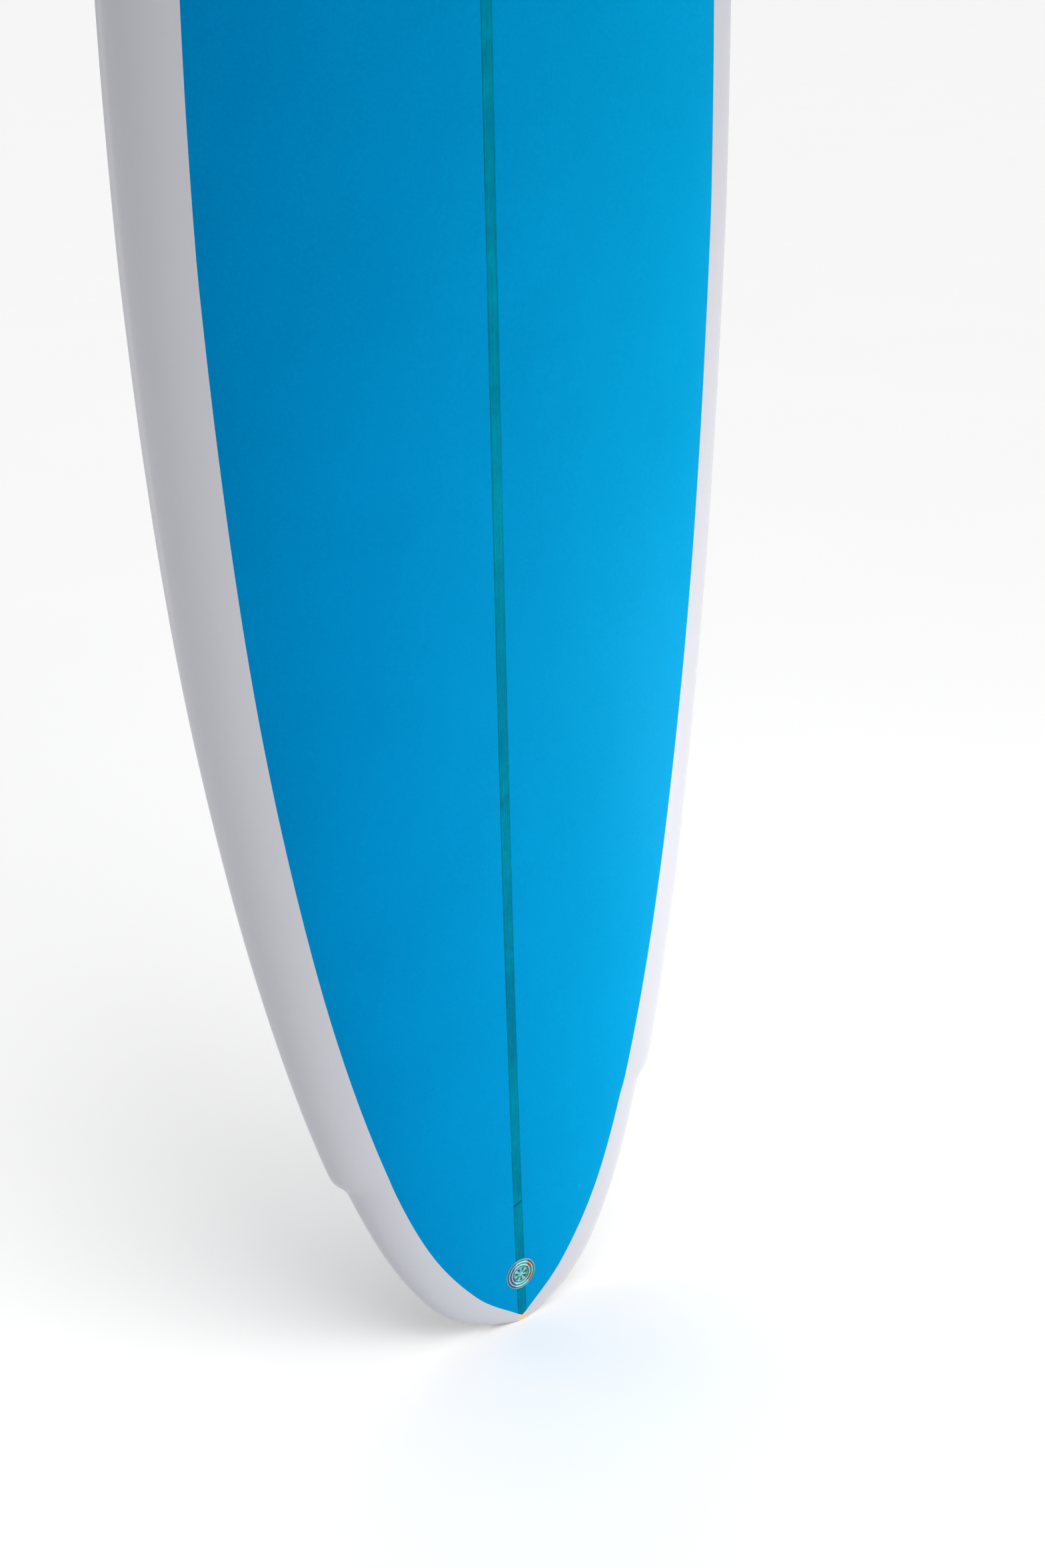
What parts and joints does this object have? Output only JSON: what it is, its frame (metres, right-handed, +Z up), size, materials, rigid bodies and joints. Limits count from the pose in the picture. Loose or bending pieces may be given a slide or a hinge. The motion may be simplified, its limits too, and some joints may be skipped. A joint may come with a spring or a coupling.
{
  "type": "surfboard",
  "caption": "Round-tail surfboard with small wings, a tinted deck panel, wooden stringer and a removable centre fin with two side fins.",
  "frame": {"origin": "centre of the flat end of the stringer at the tail, where the board stands", "axes": "+Z up the board from tail to nose, -Y out of the deck, +Y out of the bottom towards the fins, +X to the right as seen from the deck"},
  "size_m": [0.5138, 0.2695, 1.9285],
  "materials": {
    "wood": "sanded, sealed under the laminate",
    "foam": "shaped polyurethane foam",
    "tinted_laminate": "blue resin tint over glass cloth, polished",
    "white_laminate": "off-white, polished",
    "foil": "rainbow foil",
    "fin_box_plastic": "moulded",
    "fin_glass": "sanded and polished glass fibre",
    "plug_plastic": "moulded",
    "brass": "turned",
    "steel": "satin"
  },
  "bodies": {
    "board": {"stringer": "wood", "foam_core_left": "foam", "foam_core_right": "foam", "deck_panel_laminate": "tinted_laminate", "rail_and_bottom_laminate": "white_laminate", "foil_sticker": "foil", "centre_fin_box": "fin_box_plastic", "left_rear_fin_plug": "plug_plastic", "left_front_fin_plug": "plug_plastic", "right_rear_fin_plug": "plug_plastic", "right_front_fin_plug": "plug_plastic"},
    "centre_fin_set": {"centre_fin": "fin_glass", "centre_fin_pin": "brass", "centre_fin_plate": "brass"},
    "centre_screw": {"centre_fin_screw": "steel"},
    "left_fin": {"left_side_fin": "fin_glass"},
    "left_rear_grub": {"left_rear_grub_screw": "steel"},
    "left_front_grub": {"left_front_grub_screw": "steel"},
    "right_fin": {"right_side_fin": "fin_glass"},
    "right_rear_grub": {"right_rear_grub_screw": "steel"},
    "right_front_grub": {"right_front_grub_screw": "steel"}
  },
  "joints": [
    {"name": "centre_fin_slide", "type": "slide", "parent": "board", "child": "centre_fin_set", "axis": [0, 0.1041, 0.9946], "range_m": [-0.038, 0.057]},
    {"name": "centre_screw_turn", "type": "hinge", "parent": "centre_fin_set", "child": "centre_screw", "pos_m": [0, 0.04218, 0.34433], "axis": [0, 0.9946, -0.1041], "continuous": true},
    {"name": "left_fin_lift_out", "type": "slide", "parent": "board", "child": "left_fin", "axis": [0, 0.9957, -0.0928], "range_m": [0, 0.03]},
    {"name": "left_rear_grub_turn", "type": "hinge", "parent": "board", "child": "left_rear_grub", "pos_m": [-0.12009, 0.0442, 0.32722], "axis": [-0.4995, 0.8643, -0.0587], "continuous": true},
    {"name": "left_front_grub_turn", "type": "hinge", "parent": "board", "child": "left_front_grub", "pos_m": [-0.11769, 0.0493, 0.38193], "axis": [-0.4995, 0.8643, -0.0587], "continuous": true},
    {"name": "right_fin_lift_out", "type": "slide", "parent": "board", "child": "right_fin", "axis": [0, 0.9957, -0.0928], "range_m": [0, 0.03]},
    {"name": "right_rear_grub_turn", "type": "hinge", "parent": "board", "child": "right_rear_grub", "pos_m": [0.12009, 0.0442, 0.32722], "axis": [0.4995, 0.8643, -0.0587], "continuous": true},
    {"name": "right_front_grub_turn", "type": "hinge", "parent": "board", "child": "right_front_grub", "pos_m": [0.11769, 0.0493, 0.38193], "axis": [0.4995, 0.8643, -0.0587], "continuous": true}
  ]
}
